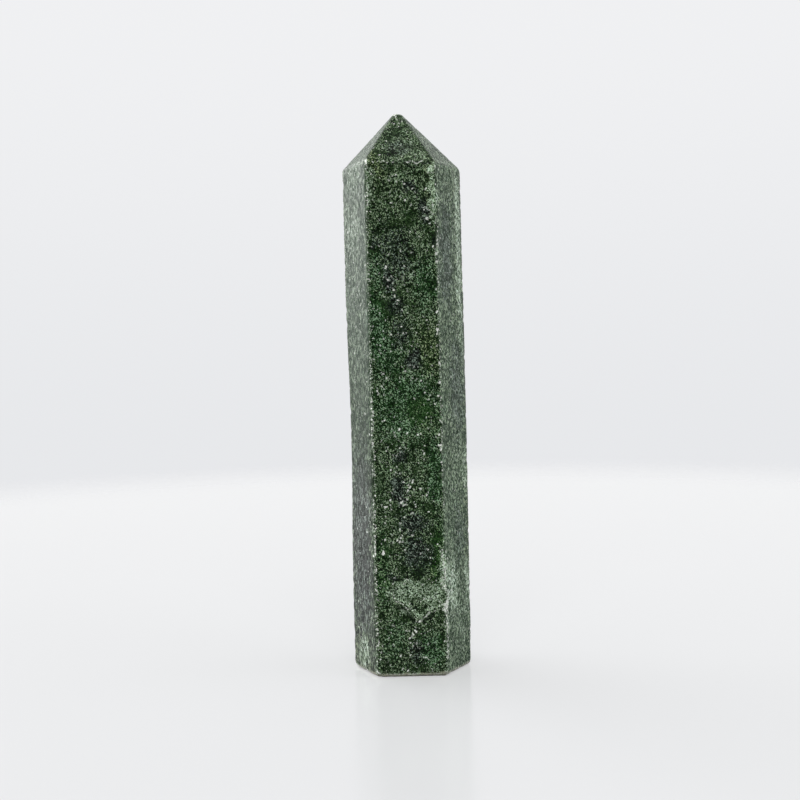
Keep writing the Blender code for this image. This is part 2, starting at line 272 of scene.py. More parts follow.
WARM_ZONES = (
    ((-4.4, -6.4, 79.6), (1.3, 2.0, 3.2), 20, 0.9),
    ((4.3, FRONT_Y, 76.0), (1.0, 2.0, 5.0), 0, 0.6),
    ((3.9, FRONT_Y, 18.6), (0.8, 2.0, 5.0), -4, 1.0),
    ((2.2, FRONT_Y, 41.0), (2.4, 2.0, 3.0), 0, 0.6),
    ((3.6, FRONT_Y, 51.0), (1.6, 2.0, 4.0), 0, 0.6),
    ((-4.4, FRONT_Y, 17.0), (0.9, 2.0, 5.0), 0, 0.6),
    ((-8.0, -3.0, 3.0), (2.4, 3.0, 3.2), 0, 1.0),
    ((8.8, -1.3, 66.0), (1.0, 1.7, 17.0), 0, 1.0),
    ((9.2, -1.1, 22.0), (1.0, 1.7, 16.0), 0, 0.6),
)
CALM_ZONES = (
    ((-3.0, FRONT_Y, 57.4), (1.5, 2.0, 1.8), 10, 1.0),
    ((1.9, FRONT_Y, 41.6), (2.2, 2.0, 2.6), 0, 0.8),
    ((-4.5, FRONT_Y, 30.4), (0.9, 2.0, 1.6), 0, 0.7),
    ((3.7, FRONT_Y, 19.5), (0.7, 2.0, 3.6), 0, 0.8),
    ((1.6, FRONT_Y, 17.6), (1.4, 2.0, 1.6), 0, 0.8),
    ((-4.4, FRONT_Y, 67.0), (1.0, 2.0, 1.6), 0, 0.6),
    ((4.6, FRONT_Y, 67.6), (0.9, 2.0, 1.6), 0, 0.7),
    ((-1.0, FRONT_Y, 69.6), (2.2, 2.0, 2.0), 0, 0.5),
)
SPARKLE_ZONES = (
    ((4.6, -6.6, 75.0), (1.0, 1.2, 4.0), 2, 0.8),
    ((5.8, -5.8, 15.0), (1.6, 1.8, 5.0), 0, 1.0),
    ((0.6, FRONT_Y, 76.0), (2.4, 2.0, 1.6), 0, 0.8),
    ((-2.2, FRONT_Y, 61.6), (1.4, 2.0, 2.6), 0, 0.7),
    ((-4.0, FRONT_Y, 49.0), (1.4, 2.0, 5.6), 0, 1.0),
    ((0.9, FRONT_Y, 47.4), (2.0, 2.0, 1.8), 0, 0.7),
    ((-1.0, FRONT_Y, 35.4), (4.0, 2.0, 3.0), 0, 0.7),
    ((0.0, FRONT_Y, 28.4), (3.2, 2.0, 3.2), 0, 1.0),
    ((-4.0, FRONT_Y, 24.4), (1.5, 2.0, 3.0), 0, 1.0),
    ((-1.4, FRONT_Y, 21.6), (2.2, 2.0, 2.4), 0, 0.8),
    ((5.0, FRONT_Y, 17.0), (1.0, 2.0, 4.5), 0, 1.0),
    ((0.6, FRONT_Y, 6.6), (1.6, 2.0, 2.2), 0, 1.0),
    ((-0.6, -1.0, 87.2), (1.6, 3.0, 1.4), 0, 0.9),
)
# The flecks and crumbs that stand out on the front, painted near-white as glints: x, z, and the
# half sizes across and up.
FLECKS = (
    (-3.5, 80.9, 0.20, 0.12),
    (0.3, 85.0, 0.18, 0.10),
    (-1.0, 84.7, 0.26, 0.09),
    (0.2, 76.3, 0.20, 0.12),
    (1.4, 75.6, 0.16, 0.16),
    (-1.9, 73.5, 0.24, 0.14),
    (0.3, 73.8, 0.18, 0.15),
    (3.6, 71.0, 0.20, 0.20),
    (4.0, 70.2, 0.14, 0.12),
    (-0.6, 66.1, 0.14, 0.12),
    (4.8, 65.6, 0.18, 0.26),
    (4.9, 64.4, 0.20, 0.22),
    (-2.9, 63.7, 0.16, 0.22),
    (-3.3, 62.2, 0.12, 0.16),
    (-2.7, 61.8, 0.16, 0.12),
    (-1.7, 60.2, 0.22, 0.16),
    (-1.1, 58.6, 0.24, 0.12),
    (4.8, 60.2, 0.14, 0.18),
    (4.8, 56.7, 0.16, 0.22),
    (3.2, 55.5, 0.14, 0.12),
    (-0.7, 54.6, 0.16, 0.14),
    (4.8, 54.0, 0.18, 0.34),
    (-2.3, 53.4, 0.18, 0.14),
    (-0.5, 53.5, 0.16, 0.14),
    (5.0, 48.8, 0.16, 0.24),
    (-0.3, 47.7, 0.20, 0.12),
    (2.1, 46.2, 0.14, 0.14),
    (5.0, 45.9, 0.20, 0.22),
    (2.7, 44.4, 0.16, 0.14),
    (4.8, 43.8, 0.16, 0.20),
    (3.1, 43.2, 0.16, 0.12),
    (-1.4, 38.8, 0.18, 0.22),
    (1.5, 37.9, 0.20, 0.14),
    (-3.6, 40.2, 0.14, 0.14),
    (4.7, 37.8, 0.20, 0.20),
    (4.9, 36.2, 0.40, 0.16),
    (5.0, 35.6, 0.18, 0.34),
    (5.0, 33.5, 0.18, 0.16),
    (-0.9, 30.6, 0.20, 0.12),
    (1.7, 29.5, 0.20, 0.16),
    (-1.4, 27.4, 0.16, 0.24),
    (-0.7, 27.1, 0.22, 0.12),
    (0.9, 26.7, 0.20, 0.14),
    (-3.8, 26.8, 0.30, 0.12),
    (2.9, 25.9, 0.16, 0.14),
    (-1.5, 21.9, 0.18, 0.16),
    (0.3, 22.3, 0.16, 0.12),
    (-4.3, 19.6, 0.22, 0.42),
    (2.7, 20.0, 0.16, 0.16),
    (0.4, 7.4, 0.24, 0.16),
    (0.1, 6.7, 0.16, 0.16),
    (-0.4, 3.5, 0.16, 0.14),
    (2.0, 3.1, 0.16, 0.14),
)
# Lips, scratches and worn edges that show as pale lines on the front, with painted highlight where
# the lips and front edges catch light: half width, strength, and x and z of the points on the way.
HIGHLIGHT_AND_WEAR_LINES = (
    (
        0.09,
        0.8,
        ((-2.9, 13.9), (-2.8, 12.6), (-2.4, 11.9), (-1.6, 11.6), (-1.0, 11.0), (-0.5, 10.3)),
    ),
    (0.07, 0.8, ((-0.5, 10.3), (0.1, 9.5), (0.86, 8.7))),
    (0.16, 0.75, ((0.9, 8.7), (1.4, 8.9), (2.1, 9.6), (2.7, 10.1))),
    (0.09, 0.7, ((2.7, 10.1), (3.6, 10.4), (4.6, 10.7), (5.4, 11.1))),
    (0.07, 0.7, ((-4.3, 15.1), (-3.2, 15.5), (-1.9, 15.8))),
    (0.07, 0.6, ((1.0, 14.1), (1.7, 12.9), (2.8, 12.2), (4.1, 13.3))),
    (0.09, 0.8, ((-3.6, 79.4), (-2.9, 79.9), (-2.2, 79.5))),
    (0.10, 1.0, ((0.7, 79.5), (1.5, 79.8), (2.1, 79.3), (3.1, 79.8))),
    (0.09, 0.8, ((2.3, 73.0), (3.4, 72.6), (4.7, 71.6))),
    (0.10, 0.7, ((-0.4, 62.3), (-0.1, 61.0), (0.4, 59.8))),
    (0.09, 0.6, ((0.2, 63.6), (1.2, 63.3), (1.6, 62.2))),
    (0.06, 0.6, ((3.4, 43.3), (3.5, 41.0), (3.5, 38.6))),
    (0.08, 0.6, ((-5.5, 79.0), (-5.45, 73.0))),
    (0.07, 0.5, ((-5.4, 73.0), (-5.5, 52.0), (-5.4, 42.0))),
    (0.10, 0.7, ((-5.4, 42.0), (-5.4, 34.9), (-5.3, 27.9), (-5.5, 21.7), (-5.35, 4.4))),
    (0.10, 0.6, ((5.2, 70.0), (5.1, 57.0), (5.1, 46.0), (5.15, 36.2), (5.3, 24.6))),
    (0.26, 0.7, ((4.8, 19.0), (5.3, 16.8), (5.0, 14.8), (5.6, 13.2), (5.5, 11.8))),
    (0.13, 0.8, ((5.5, 11.8), (5.4, 8.4), (5.5, 6.0), (5.4, 2.6))),
)
# Cracks, and the painted shadow under lips and undercuts, dark and a little sunk, in the same
# terms.
SHADOW_AND_CRACK_LINES = (
    (0.28, 1.0, ((-2.2, 11.2), (-1.2, 10.6), (-0.5, 9.8), (0.2, 9.0))),
    (0.22, 1.0, ((1.7, 8.6), (2.4, 9.2), (3.2, 9.7))),
    (0.12, 0.9, ((-3.3, 15.1), (-2.2, 15.3), (-1.2, 15.2))),
    (0.12, 0.8, ((0.2, 49.4), (1.0, 48.7), (2.1, 49.2))),
    (0.16, 0.9, ((-0.5, 75.6), (0.5, 75.2), (1.6, 76.0))),
    (0.14, 0.9, ((3.2, 72.1), (4.2, 71.5))),
    (0.10, 0.7, ((-3.4, 79.0), (-2.4, 79.1))),
    (0.12, 0.8, ((-5.0, 79.4), (-5.3, 78.4))),
)


def zone_strength(points, zones):
    """How strongly the zones mark each point, from 0 to 1, with ragged outlines."""
    wander = np.stack([noise_at(points, ZONE_WANDER_SIZE, seed) for seed in (1, 2, 3)], axis=1)
    moved = points + wander * ZONE_WANDER
    strength = np.zeros(len(points))
    for (x, y, z), (across_size, inward_size, up_size), turn, amount in zones:
        angle = math.radians(turn)
        dx, dz = moved[:, 0] - x, moved[:, 2] - z
        across = (dx * math.cos(angle) + dz * math.sin(angle)) / across_size
        up = (dz * math.cos(angle) - dx * math.sin(angle)) / up_size
        inward = (moved[:, 1] - y) / inward_size
        reach = np.sqrt(across**2 + up**2 + inward**2)
        strength = np.maximum(strength, amount * (1 - smoothstep(*ZONE_FALLOFF, reach)))
    return strength


def wandering(points):
    """X and Z of each point, moved about a little, so that what is drawn there looks natural."""
    push = np.stack([noise_at(points, LINE_WANDER_SIZE, seed) for seed in (21, 22)], axis=1)
    return points[:, [0, 2]] + LINE_WANDER * push


def on_front(points):
    """1 on the front face and the front of the point, and 0 elsewhere."""
    return smoothstep(FRONT_Y + FRONT_DEPTH_GONE, FRONT_Y + FRONT_DEPTH_FULL, points[:, 1])


def line_strength(points, lines):
    """How strongly the lines mark each point, from 0 to 1."""
    flat = wandering(points)
    strength = np.zeros(len(points))
    for half_width, amount, route in lines:
        full, gone = (share * half_width for share in LINE_FALLOFF)
        places = np.array(route)
        for start, end in zip(places, places[1:]):
            along = end - start
            share = np.clip((flat - start) @ along / (along @ along), 0.0, 1.0)
            away = np.linalg.norm(flat - start - share[:, None] * along, axis=1)
            strength = np.maximum(strength, amount * (1 - smoothstep(full, gone, away)))
    return strength * on_front(points)


def fleck_strength(points):
    """How far each point lies in one of the flecks, from 0 to 1."""
    flat = wandering(points)
    strength = np.zeros(len(points))
    for x, z, half_across, half_up in FLECKS:
        reach = np.hypot((flat[:, 0] - x) / half_across, (flat[:, 1] - z) / half_up)
        strength = np.maximum(strength, 1 - smoothstep(*FLECK_FALLOFF, reach))
    return strength * on_front(points)


def unseen_mottle(points, size, seed):
    """The same kind of marking, free, on the sides that the photograph doesn't show."""
    behind = smoothstep(*UNSEEN_DEPTHS, points[:, 1])
    return behind * smoothstep(*UNSEEN_PATCHES, noise_at(points * UNSEEN_UPRIGHT, size, seed))


def roughened(surface, wear, hollow, shadow_and_crack):
    """The points with the small relief of a worn, hand-polished stone."""
    points, normals = surface.points, surface.normals
    fine_chatter = noise_at(points, FINE_CHATTER_SIZE, 11)
    coarse_chatter = noise_at(points, COARSE_CHATTER_SIZE, 12)
    chatter = (fine_chatter + coarse_chatter) / 2
    waviness = noise_at(points, WAVINESS_SIZE, 13)
    eaten = smoothstep(*EATEN_PATCHES, noise_at(points, EATEN_SIZE, 14)) * wear
    pitted = smoothstep(*PIT_PATCHES, noise_at(points, PIT_SIZE, 15))
    depth = CHATTER_DEPTH * chatter - WAVINESS_DEPTH * waviness + EATEN_DEPTH * eaten
    depth = depth + PIT_DEPTH * pitted + CHATTER_IN_HOLLOWS * chatter * hollow
    depth = np.maximum(depth, 0.0) + SHADOW_AND_CRACK_DEPTH * shadow_and_crack
    moved = points - normals * depth[:, None]
    low = np.clip(1 - moved[:, 2] / FOOT_ROUND_HEIGHT, 0.0, 1.0)
    rounding = FOOT_ROUND_WIDTH * (1 - np.sqrt(1 - low**2))
    level = normals * (1, 1, 0)
    moved -= level * rounding[:, None]
    moved[:, 2] = np.maximum(moved[:, 2], 0.0)
    return moved


def store(mesh, name, values):
    """Keeps one number for each point of the mesh, for the material to read."""
    attribute = mesh.attributes.new(name, "FLOAT", "POINT")
    attribute.data.foreach_set("value", np.ascontiguousarray(values, np.float32))


def stored(mesh, name):
    """The numbers kept for the mesh's points under this name."""
    values = np.empty(len(mesh.vertices), np.float32)
    mesh.attributes[name].data.foreach_get("value", values)
    return values.astype(float)


def store_form(mesh):
    """Keeps where the mesh's edges and hollows are, which way it faces, and its painted sheen."""
    surface = Surface(mesh)
    sideways = surface.normals[:, 0]
    left = smoothstep(*FLANK_FACING, -sideways)
    right = smoothstep(*FLANK_FACING, sideways)
    # The painted sheen: full high on the left flank, dimmer towards the foot, weaker on the right.
    lit = PAINTED_SHEEN_AT_FOOT + (1 - PAINTED_SHEEN_AT_FOOT) * smoothstep(*PAINTED_SHEEN_RISE, surface.points[:, 2])
    store(mesh, "rim", edge_wear(surface, RIM_ROUNDS, RIM_TURNING))
    store(mesh, "wear", edge_wear(surface, WEAR_ROUNDS, WEAR_TURNING))
    store(mesh, "hollow", hollowness(surface))
    store(mesh, "flank", smoothstep(*FLANK_FACING, np.abs(sideways)))
    store(mesh, "left", left)
    store(mesh, "painted_sheen", left * lit + PAINTED_SHEEN_RIGHT * right)


def store_marks(mesh, points):
    """Keeps how strongly the zones, lines and flecks mark each point."""
    for name, zones, free_amount, free_size, seed in (
        ("dark", DARK_ZONES, 1.0, 3.6, 7),
        ("pale", PALE_ZONES, UNSEEN_PALE, 2.4, 8),
        ("vivid", VIVID_ZONES, 1.0, 4.0, 9),
        ("warm", WARM_ZONES, 1.0, 5.0, 16),
        ("calm", CALM_ZONES, 1.0, 3.0, 17),
        ("sparkle", SPARKLE_ZONES, 1.0, 3.0, 18),
    ):
        free = free_amount * unseen_mottle(points, free_size, seed)
        store(mesh, name, np.maximum(zone_strength(points, zones), free))
    store(mesh, "line", line_strength(points, HIGHLIGHT_AND_WEAR_LINES))
    store(mesh, "shadow_and_crack", line_strength(points, SHADOW_AND_CRACK_LINES))
    store(mesh, "fleck", fleck_strength(points))
    height = points[:, 2] + FOOT_WANDER * noise_at(points, FOOT_WANDER_SIZE, 19)
    store(mesh, "foot", 1 - smoothstep(*FOOT_BAND, height))


def stone_piece(node):
    """The stone with its fine relief, and what its material needs to know at each point."""
    mesh = fine_mesh(node)
    store_form(mesh)
    split_front(mesh)
    surface = Surface(mesh)
    store_marks(mesh, surface.points)
    moved = roughened(surface, *(stored(mesh, name) for name in ("wear", "hollow", "shadow_and_crack")))
    mesh.vertices.foreach_set("co", np.ascontiguousarray((moved * MM).ravel(), np.float32))
    mesh.update()
    mesh.shade_smooth()
    piece = bpy.data.objects.new("polished_stone", mesh)
    bpy.context.scene.collection.objects.link(piece)
    return piece


class Nodes:
    """Short calls for the nodes that the materials are made of."""

    def __init__(self, tree):
        self.tree = tree

    def add(self, kind, inputs=None, **settings):
        """A node with these settings, and each input linked to a socket or set to a value."""
        node = self.tree.nodes.new(kind)
        for name, value in settings.items():
            setattr(node, name, value)
        for name, value in (inputs or {}).items():
            socket = node.inputs[name]
            if isinstance(value, bpy.types.NodeSocket):
                self.tree.links.new(value, socket)
            else:
                socket.default_value = value
        return node

    def math(self, operation, a, b=0.0, clamp=False):
        node = self.add("ShaderNodeMath", {0: a, 1: b}, operation=operation, use_clamp=clamp)
        return node.outputs[0]

    def vector(self, operation, a, b=(0.0, 0.0, 0.0)):
        node = self.add("ShaderNodeVectorMath", {0: a, 1: b}, operation=operation)
        return node.outputs["Value" if operation in ("DOT_PRODUCT", "LENGTH") else "Vector"]

    def fit(self, value, low, high, to_low=0.0, to_high=1.0):
        """The value smoothly fitted from one range to another."""
        inputs = {
            "Value": value,
            "From Min": low,
            "From Max": high,
            "To Min": to_low,
            "To Max": to_high,
        }
        return self.add("ShaderNodeMapRange", inputs, interpolation_type="SMOOTHSTEP").outputs[0]

    def between(self, share, at_none, at_full):
        """One value where the share is 0, another where it is 1, and smooth between them."""
        return self.fit(share, 0.0, 1.0, at_none, at_full)

    def noise(self, where, size, detail=2.0, roughness=0.55):
        inputs = {"Vector": where, "Scale": 1 / size, "Detail": detail, "Roughness": roughness}
        return self.add("ShaderNodeTexNoise", inputs).outputs["Fac"]

    def cells(self, where, size):
        return self.add("ShaderNodeTexVoronoi", {"Vector": where, "Scale": 1 / size})

    def ramp(self, value, *stops):
        """A colour ramp of (position, colour) stops."""
        node = self.add("ShaderNodeValToRGB", {"Fac": value})
        elements = node.color_ramp.elements
        while len(elements) < len(stops):
            elements.new(0.5)
        for element, (position, colour) in zip(elements, stops):
            element.position = position
            element.color = (*colour, 1.0)
        return node.outputs["Color"]

    def mix(self, share, a, b):
        """One colour where the share is 0, and the other where it is 1."""
        node = self.add("ShaderNodeMix", data_type="RGBA")
        for name, value in {"Factor": share, "A": a, "B": b}.items():
            socket = next(s for s in node.inputs if s.name == name and s.enabled)
            if isinstance(value, bpy.types.NodeSocket):
                self.tree.links.new(value, socket)
            else:
                socket.default_value = value if name == "Factor" else (*value, 1.0)
        return next(s for s in node.outputs if s.enabled)

    def attribute(self, name):
        return self.add("ShaderNodeAttribute", attribute_name=name).outputs["Fac"]

    def split(self, colour):
        """The colour's three parts, each from 0 to 1."""
        return list(self.add("ShaderNodeSeparateColor", {"Color": colour}).outputs)

    def upright(self, where, shortening):
        """The place with its height shortened, for marks that are longer up than across."""
        by_axis = self.add("ShaderNodeCombineXYZ", {"X": 1.0, "Y": 1.0, "Z": shortening})
        return self.vector("MULTIPLY", where, by_axis.outputs[0])

    def leaning(self, where, lean, shortening):
        """The place for marks that are long and lean this far from upright, in radians."""
        inputs = {"Vector": where, "Angle": lean}
        turned = self.add("ShaderNodeVectorRotate", inputs, rotation_type="Y_AXIS").outputs[0]
        return self.upright(turned, shortening)

    def dashes(self, where, size, lean):
        """Noise drawn out into short dashes, which lean this far from upright."""
        return self.noise(self.leaning(where, lean, DASH_SHORTENING), size, detail=1.0)

    def specks(self, where, size, lean, density):
        """Separate small flecks, longer than wide, which lean this far from upright."""
        cells = self.cells(self.leaning(where, lean, SPECK_SHORTENING), size)
        chance, share, _ = self.split(cells.outputs["Color"])
        inside = self.fit(cells.outputs["Distance"], *SPECK_EDGE)
        chosen = self.math("LESS_THAN", chance, density)
        bright = self.between(share, *SPECK_BRIGHTNESS)
        return self.math("MULTIPLY", self.math("MULTIPLY", inside, chosen), bright)

    def wobbled(self, where, size, amount):
        """The place moved about by noise, so that what is drawn there gets ragged outlines."""
        inputs = {"Vector": where, "Scale": 1 / size, "Detail": 2.0}
        push = self.add("ShaderNodeTexNoise", inputs).outputs["Color"]
        push = self.vector("SUBTRACT", push, (0.5, 0.5, 0.5))
        push = self.vector("MULTIPLY", push, (2 * amount, 2 * amount, 2 * amount))
        return self.vector("ADD", where, push)


# The grain of the rock: sugary grains, which lean two ways, on the faces seen square on, and short
# upright fibres on the flanks. A shortening of 0.5 makes marks twice as tall as they are wide.
GRAIN_SIZE = 0.11
GRAIN_SHORTENING = 0.6
GRAIN_LEANS = (0.7, -0.6)
GRAIN_PATCH_SIZE = 0.5
FIBRE_SIZE = 0.125
FIBRE_SHORTENING_RIGHT = 0.4
FIBRE_SHORTENING_LEFT = 0.22
WOBBLE_SIZE = 0.25
WOBBLE = 0.16

# What is added to the grain, how strongly, and where its contrast is less. Lulls are where a wide
# noise is high: the pair says where they begin and are full. Other pairs are front and flanks.
SOFT_SIZE = 0.6
SOFT_SHORTENING = (1.0, 0.3)
SOFT_SHARES = (0.42, 0.55)
CLOUD_SIZE = 1.7
CLOUD_SHARES = (0.5, 0.3)
CONTRASTS = (1.32, 1.6)
CONTRAST_ON_LEFT = 0.82
CONTRAST_IN_CALM = 0.5
CONTRAST_IN_LULLS = 0.7
LULL_SIZE = 2.3
LULLS = (0.5, 0.68)
MIDDLE_TONE = 0.5
CALM_TONE = 0.6

# Mica flecks, bright crumbs and bruised edges, painted near-white: glints on the flecks and
# crumbs, highlights on the edges and lips. An edge here is the two strengths between which a mark
# fades in, and the dots break its outline up by this much. Clouds hold more of the flecks.
DASH_SIZE = 0.24
DASH_SHORTENING = 0.4
DASH_CLOUD = 0.2
DASH_EDGE = (0.74, 0.79)
SPECK_SIZES = (0.36, 0.42)
SPECK_SHORTENING = 0.6
SPECK_EDGE = (0.36, 0.24)
SPECK_BRIGHTNESS = (0.45, 1.0)
SPECK_DENSITY = (0.01, 0.19)
SPECK_LEANS = (0.7, -0.5)
SPARKLE_CLOUD = 0.8
SPARKLE_OFF_FLANKS = 0.3
SPARKLE_RANGE = (-0.3, 1.0)
DOT_SIZE = 0.3
RIM_DOTS = 2.2
RIM_EDGE = (0.70, 0.98)
LINE_DOTS = 3.4
LINE_EDGE = (0.55, 1.15)
LINE_REACH = (0.0, 0.4)
FLECK_DOTS = 1.2
FLECK_EDGE = (0.40, 0.62)
SHADOW_AND_CRACK_EDGE = (0.2, 0.7)
# The near-white painted on flecks, edges and lips as glints and highlights.
GLINT_COLOUR = (0.95, 0.99, 0.92)
GLINT_METALLIC = 0.55
GLINT_TILT = 1.2
GLINT_LEAN = (-0.75, 0.2, 0.45)

# How each kind of rock gives way to the next: the range over which the strength of its zone,
# less a random number for each grain, brings it in. Bruises follow a blotchy noise instead.
VIVID_EDGE = (-0.35, 0.2)
DARK_EDGE = (-0.30, 0.15)
BRUISE_EDGE = (-0.25, 0.35)
BRUISE_BLOTCH = 1.2
WEAR_BRUISE = 0.7
WORN_BRUISE = 0.8
BLOTCH_SIZE = 0.4

# Colours that lie over the rock's own, and the flanks' painted sheen, strongest at the top left.
# The two tints paint the sides as differently lit: the flanks brighter and bluer than the front.
FRONT_TINT = (0.86, 1.04, 0.88)
FLANK_SHEEN_TINT = (0.97, 1.11, 1.02)
WARM_TINT = (1.30, 1.10, 0.60)
WARM_SHARE = 0.4
SHADOW_AND_CRACK_COLOUR = (0.002, 0.005, 0.003)
SHADOW_AND_CRACK_SHARE = 0.7
# The painted sheen is a pale reflection of the studio's light, painted into the flanks' colour.
PAINTED_SHEEN_COLOUR = (0.072, 0.150, 0.080)
PAINTED_SHEEN_SHARE = 0.38
PAINTED_SHEEN_RIGHT = 0.6
PAINTED_SHEEN_AT_FOOT = 0.2
PAINTED_SHEEN_RISE = (15.0, 60.0)
FOOT_TAN = (0.50, 0.49, 0.35)
FOOT_BLOTCH = (0.35, 0.6)
FOOT_RUB = (0.5, 1.0)
FOOT_BROWN = (0.035, 0.028, 0.016)
FOOT_BROWN_HEIGHTS = (0.18, 0.08)

# The rock shines less than real fuchsite, which keeps its dark grains dark. The flanks' gloss is a
# coat over it, stronger on the brighter grains.
ROCK_IOR = 1.2
ROUGHNESS = (0.20, 0.36)
SMEARS = (0.3, 0.7)
FLANK_POLISH = (0.10, 1.0)
POLISHED_GRAINS = (0.1, 0.9)
COAT_ROUGHNESS = 0.28
COAT_IOR = 1.45
BUMP_STRENGTHS = (0.35, 0.7)
BUMP_DEPTH = 0.05


def stone_grain(n, where, ragged, flank):
    """The grain's brightness, three random numbers for each grain, and the cloud over them."""
    left = n.attribute("left")
    calm = n.attribute("calm")
    one_way, other_way = (
        n.cells(n.leaning(ragged, lean, GRAIN_SHORTENING), GRAIN_SIZE).outputs["Color"]
        for lean in GRAIN_LEANS
    )
    patches = n.math("LESS_THAN", n.noise(where, GRAIN_PATCH_SIZE), 0.5)
    sugar = n.mix(patches, one_way, other_way)
    shortening = n.between(left, FIBRE_SHORTENING_RIGHT, FIBRE_SHORTENING_LEFT)
    fibres = n.cells(n.upright(ragged, shortening), FIBRE_SIZE).outputs["Color"]
    random = n.mix(flank, sugar, fibres)

    contrast = n.fit(n.noise(where, LULL_SIZE, detail=1.0), *LULLS, 1.0, CONTRAST_IN_LULLS)
    contrast = n.math("MULTIPLY", contrast, n.between(calm, 1.0, CONTRAST_IN_CALM))
    contrast = n.math("MULTIPLY", contrast, n.between(flank, *CONTRASTS))
    contrast = n.math("MULTIPLY", contrast, n.between(left, 1.0, CONTRAST_ON_LEFT))

    smeared = n.upright(where, n.between(flank, *SOFT_SHORTENING))
    soft = n.noise(smeared, SOFT_SIZE, detail=4.0, roughness=0.6)
    soft = n.math("SUBTRACT", soft, 0.5)
    cloud = n.noise(where, CLOUD_SIZE, detail=3.0, roughness=0.5)
    cloud = n.math("SUBTRACT", cloud, 0.5)
    grain = n.math("MULTIPLY", n.math("SUBTRACT", n.split(random)[0], 0.5), contrast)
    grain = n.math("ADD", grain, n.math("MULTIPLY", soft, n.between(flank, *SOFT_SHARES)))
    grain = n.math("ADD", grain, n.math("MULTIPLY", cloud, n.between(flank, *CLOUD_SHARES)))
    middle = n.between(calm, MIDDLE_TONE, CALM_TONE)
    return n.math("ADD", grain, middle, clamp=True), random, cloud


def kinds_of_rock(n, grain):
    """The grain coloured as the rock's four kinds: olive, green, dark and pale."""
    olive = n.ramp(
        grain,
        (0.08, (0.0001, 0.0040, 0.0001)),
        (0.36, (0.0030, 0.0100, 0.0018)),
        (0.62, (0.0154, 0.0342, 0.0098)),
        (0.86, (0.076, 0.122, 0.053)),
        (1.00, (0.420, 0.470, 0.340)),
    )
    green = n.ramp(
        grain,
        (0.08, (0.0001, 0.0050, 0.0001)),
        (0.36, (0.0020, 0.0118, 0.0018)),
        (0.62, (0.0113, 0.0392, 0.0102)),
        (0.86, (0.059, 0.134, 0.050)),
        (1.00, (0.360, 0.490, 0.340)),
    )
    dark = n.ramp(
        grain,
        (0.10, (0.0002, 0.0004, 0.0002)),
        (0.44, (0.0016, 0.0034, 0.0020)),
        (0.66, (0.0070, 0.0115, 0.0085)),
        (0.88, (0.038, 0.050, 0.043)),
        (1.00, (0.300, 0.330, 0.310)),
    )
    pale = n.ramp(
        grain,
        (0.08, (0.007, 0.020, 0.006)),
        (0.34, (0.050, 0.082, 0.040)),
        (0.58, (0.230, 0.288, 0.182)),
        (0.80, (0.580, 0.645, 0.500)),
        (1.00, (0.900, 0.930, 0.860)),
    )
    return olive, green, dark, pale


def rock_colour(n, grain, random, blotch):
    """The rock's colour, each kind of it where its zones are, with its bruises and cracks."""
    _, second, third = n.split(random)
    olive, green, dark, pale = kinds_of_rock(n, grain)
    vivid_share = n.fit(n.math("SUBTRACT", n.attribute("vivid"), third), *VIVID_EDGE)
    colour = n.mix(vivid_share, olive, green)
    warmer = n.vector("MULTIPLY", colour, WARM_TINT)
    colour = n.mix(n.math("MULTIPLY", n.attribute("warm"), WARM_SHARE), colour, warmer)
    dark_share = n.fit(n.math("SUBTRACT", n.attribute("dark"), second), *DARK_EDGE)
    colour = n.mix(dark_share, colour, dark)

    wear = n.math("MULTIPLY", n.attribute("wear"), WEAR_BRUISE)
    worn = n.math("MAXIMUM", wear, n.attribute("hollow"))
    bruise = n.math("MAXIMUM", n.attribute("rim"), n.attribute("pale"))
    bruise = n.math("MAXIMUM", bruise, n.math("MULTIPLY", worn, WORN_BRUISE))
    bruise = n.math("SUBTRACT", bruise, n.math("MULTIPLY", blotch, BRUISE_BLOTCH))
    colour = n.mix(n.fit(bruise, *BRUISE_EDGE), colour, pale)
    # The cracks and the painted shadow under the lips turn near-black.
    return n.mix(n.math("MULTIPLY", n.attribute("shadow_and_crack"), SHADOW_AND_CRACK_SHARE), colour, SHADOW_AND_CRACK_COLOUR)


def stone_glints(n, where, ragged, flank, cloud):
    """Where mica flecks, bright crumbs and freshly bruised edges lie, painted as glints, 0 to 1.
    """
    dots = n.math("SUBTRACT", n.noise(where, DOT_SIZE), 0.5)

    def dotted(mark, amount):
        """The mark with this much of the dots added, which breaks up its outline."""
        return n.math("ADD", mark, n.math("MULTIPLY", dots, amount))

    sparkle = n.math("ADD", n.attribute("sparkle"), n.math("MULTIPLY", cloud, SPARKLE_CLOUD))
    sparkle = n.math("SUBTRACT", sparkle, n.math("MULTIPLY", flank, SPARKLE_OFF_FLANKS))
    density = n.fit(sparkle, *SPARKLE_RANGE, *SPECK_DENSITY)
    dashes = n.math("MAXIMUM", *(n.dashes(ragged, DASH_SIZE, lean) for lean in SPECK_LEANS))
    dashes = n.math("ADD", dashes, n.math("MULTIPLY", cloud, DASH_CLOUD))
    line = n.attribute("line")
    on_line = n.fit(dotted(line, LINE_DOTS), *LINE_EDGE)
    kinds = (
        *(n.specks(ragged, size, lean, density) for size, lean in zip(SPECK_SIZES, SPECK_LEANS)),
        n.fit(dashes, *DASH_EDGE),
        n.fit(dotted(n.attribute("rim"), RIM_DOTS), *RIM_EDGE),
        n.math("MULTIPLY", on_line, n.fit(line, *LINE_REACH)),
        n.fit(dotted(n.attribute("fleck"), FLECK_DOTS), *FLECK_EDGE),
    )
    glint = kinds[0]
    for kind in kinds[1:]:
        glint = n.math("MAXIMUM", glint, kind)
    return n.math("MULTIPLY", glint, n.fit(n.attribute("shadow_and_crack"), *SHADOW_AND_CRACK_EDGE, 1.0, 0.0))


